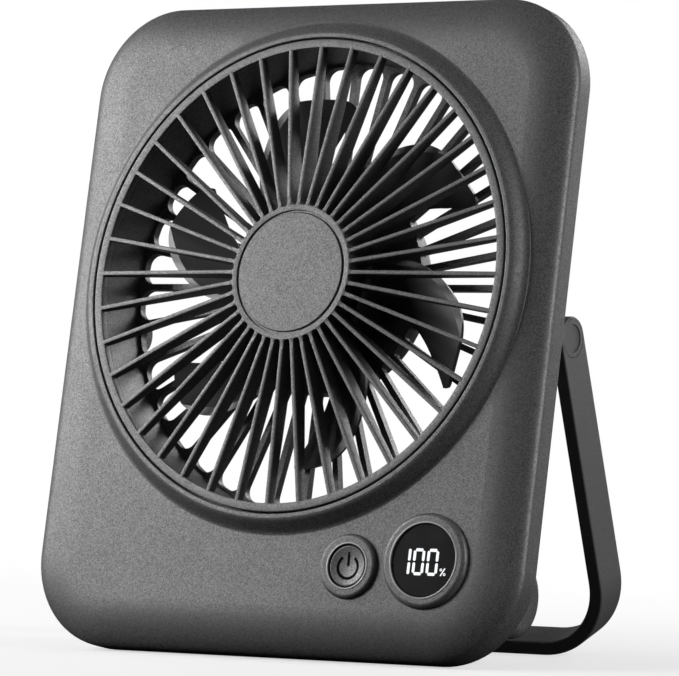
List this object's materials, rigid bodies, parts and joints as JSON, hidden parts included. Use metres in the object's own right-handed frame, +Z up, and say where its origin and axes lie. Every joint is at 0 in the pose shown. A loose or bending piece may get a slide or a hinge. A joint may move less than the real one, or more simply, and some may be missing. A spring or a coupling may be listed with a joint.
{
  "type": "rechargeable desk fan",
  "caption": "Small rechargeable desk fan: leaning rounded case, radial round grille, bladed impeller, push button, display and folding U-shaped stand.",
  "frame": {"origin": "centre of the bounding box on the table, with the fan standing on its own stand", "axes": "+X to the right seen from the front, +Y from the grille to the back, +Z up from the table"},
  "size_m": [0.154, 0.0672, 0.1754],
  "materials": {
    "case_plastic": "fine spark-eroded grain",
    "stand_plastic": "fine spark-eroded grain",
    "grille_plastic": "fine spark-eroded grain",
    "impeller_plastic": "smooth satin",
    "button_plastic": "smooth satin",
    "lens_plastic": "polished smoked window",
    "module_plastic": "moulded",
    "board": "solder mask",
    "steel": "plain",
    "lamination": "stacked sheet",
    "magnet": "bonded ferrite",
    "copper": "enamelled wire",
    "sleeve_brass": "turned",
    "sintered_bronze": "sintered",
    "cell_wrap": null,
    "washer_plastic": "plain nylon"
  },
  "bodies": {
    "case": {"front_shell": "case_plastic", "front_grille": "grille_plastic", "grille_cap": "grille_plastic", "rear_shell": "case_plastic", "rear_grille": "case_plastic", "stator_core": "lamination", "stator_coils": "copper", "bearing_sleeve": "sleeve_brass", "front_bearing": "sintered_bronze", "rear_bearing": "sintered_bronze", "motor_board": "board", "switch_body": "module_plastic", "display_lens": "lens_plastic", "display_module": "module_plastic", "main_board": "board", "charge_board": "board", "charge_port": "steel", "battery_cell_left": "cell_wrap", "battery_cell_right": "cell_wrap", "battery_contacts": "steel", "pivot_pin_left": "steel", "pivot_pin_right": "steel", "friction_washer_left": "washer_plastic", "friction_washer_right": "washer_plastic", "case_screws": "steel", "board_screws": "steel", "charge_screws": "steel"},
    "rotor": {"impeller": "impeller_plastic", "rotor_can": "steel", "magnet_ring": "magnet", "rotor_shaft": "steel", "shaft_clip": "steel"},
    "button": {"power_button": "button_plastic", "switch_plunger": "module_plastic"},
    "stand": {"stand_bracket": "stand_plastic", "pivot_cap_left": "stand_plastic", "pivot_cap_right": "stand_plastic"}
  },
  "joints": [
    {"name": "stand_hinge", "type": "hinge", "parent": "case", "child": "stand", "pos_m": [0, 0.0018, 0.0855], "axis": [1, 0, 0], "range_deg": [-29.95, 150.05]},
    {"name": "fan_spin", "type": "hinge", "parent": "case", "child": "rotor", "pos_m": [0, -0.01646, 0.10253], "axis": [0, -0.9765, 0.2156], "continuous": true},
    {"name": "button_press", "type": "slide", "parent": "case", "child": "button", "axis": [0, 0.9765, -0.2156], "range_m": [0, 0.0006], "stiffness_N_per_m": 2500, "springref_m": -0.0004}
  ]
}
